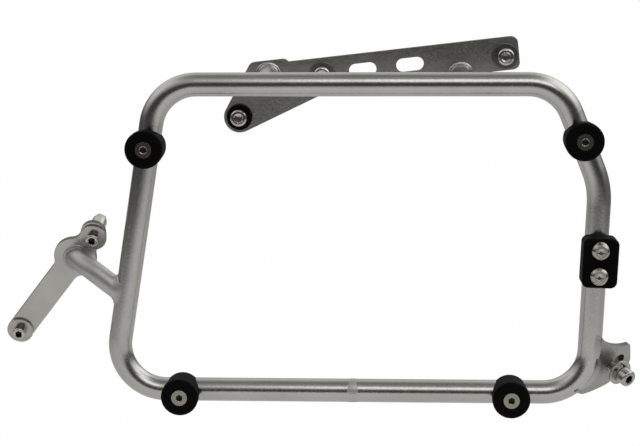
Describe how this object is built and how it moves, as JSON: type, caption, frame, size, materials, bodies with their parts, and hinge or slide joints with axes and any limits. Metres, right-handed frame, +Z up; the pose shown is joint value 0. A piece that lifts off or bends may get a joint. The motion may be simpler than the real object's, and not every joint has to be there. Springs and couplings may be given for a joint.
{
  "type": "pannier frame",
  "caption": "Motorcycle side pannier carrier: a bent stainless tube hoop with black pucks and a lock block, on welded brackets for the rear frame, footrest hanger and cross brace.",
  "frame": {"origin": "on the axis of the upper plate's front bolt, at the plate's inboard face", "axes": "+X to the rear of the motorcycle, +Y inboard along the bracket bolts, +Z up"},
  "size_m": [0.4958, 0.1084, 0.2834],
  "materials": {
    "stainless_tube": "satin",
    "stainless_plate": "matt, blasted",
    "footrest_steel": "satin",
    "weld_metal": "bright, rippled",
    "bolt_steel": "bright",
    "black_plastic": "satin",
    "black_rubber": "matt"
  },
  "bodies": {
    "root": {"arm_welds": "weld_metal", "brace_bolt": "bolt_steel", "brace_gusset": "stainless_plate", "brace_lock_washer": "bolt_steel", "brace_nut": "bolt_steel", "brace_nut_plate": "stainless_plate", "brace_washer": "bolt_steel", "bracket_bolts": "bolt_steel", "bracket_damper": "black_rubber", "bracket_plate": "stainless_plate", "bracket_washers": "bolt_steel", "footrest_arm": "stainless_tube", "footrest_bolts": "bolt_steel", "footrest_nuts": "bolt_steel", "footrest_plate": "footrest_steel", "footrest_spacers": "bolt_steel", "footrest_washers": "bolt_steel", "gusset_welds": "weld_metal", "hoop_butt_weld": "weld_metal", "hoop_tube": "stainless_tube", "lock_block": "black_plastic", "lock_bosses": "stainless_tube", "lock_screws": "bolt_steel", "puck_bosses": "stainless_tube", "puck_front_lower": "black_plastic", "puck_front_upper": "black_plastic", "puck_rear_lower": "black_plastic", "puck_rear_upper": "black_plastic", "puck_screws": "bolt_steel", "stub_front": "stainless_tube", "stub_rear": "stainless_tube", "stub_welds": "weld_metal"}
  },
  "joints": []
}
